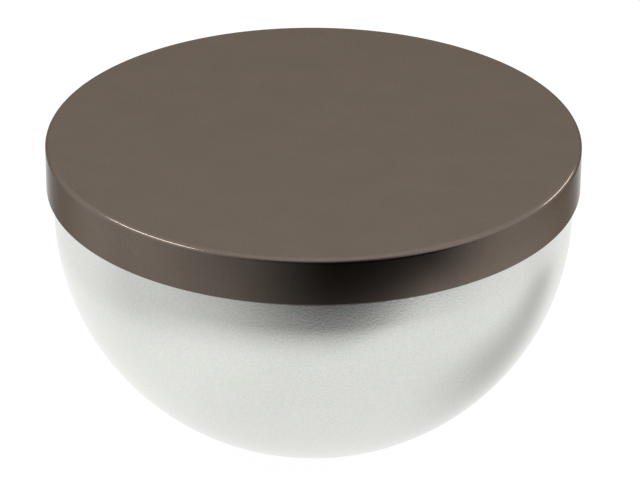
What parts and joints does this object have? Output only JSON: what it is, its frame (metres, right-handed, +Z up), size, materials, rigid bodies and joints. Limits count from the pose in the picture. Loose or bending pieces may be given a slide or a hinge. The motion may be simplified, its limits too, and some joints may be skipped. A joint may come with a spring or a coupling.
{
  "type": "dappen dish",
  "caption": "Round metal dappen dish with a near-hemispherical bowl and a flat glossy lid that lifts off, with a locating plug and seal ring inside the mouth.",
  "frame": {"origin": "centre of the flat base, on the surface the dish stands on", "axes": "+Z up along the axis of the dish; the dish is round about it, so X and Y are free"},
  "size_m": [0.06, 0.06, 0.0355],
  "materials": {
    "satin_metal": "satin, with a fine grain",
    "gloss_brown": "brown, semi-gloss, with a metal-like shine; anodised is a guess",
    "matt_brown": "moulded matt",
    "dark_elastomer": "matt"
  },
  "bodies": {
    "dish": {"bowl": "satin_metal"},
    "lid": {"lid_shell": "gloss_brown", "lid_liner": "matt_brown", "seal_ring": "dark_elastomer"}
  },
  "joints": [
    {"name": "lid_lift", "type": "slide", "parent": "dish", "child": "lid", "axis": [0, 0, 1], "range_m": [0, 0.06]}
  ]
}
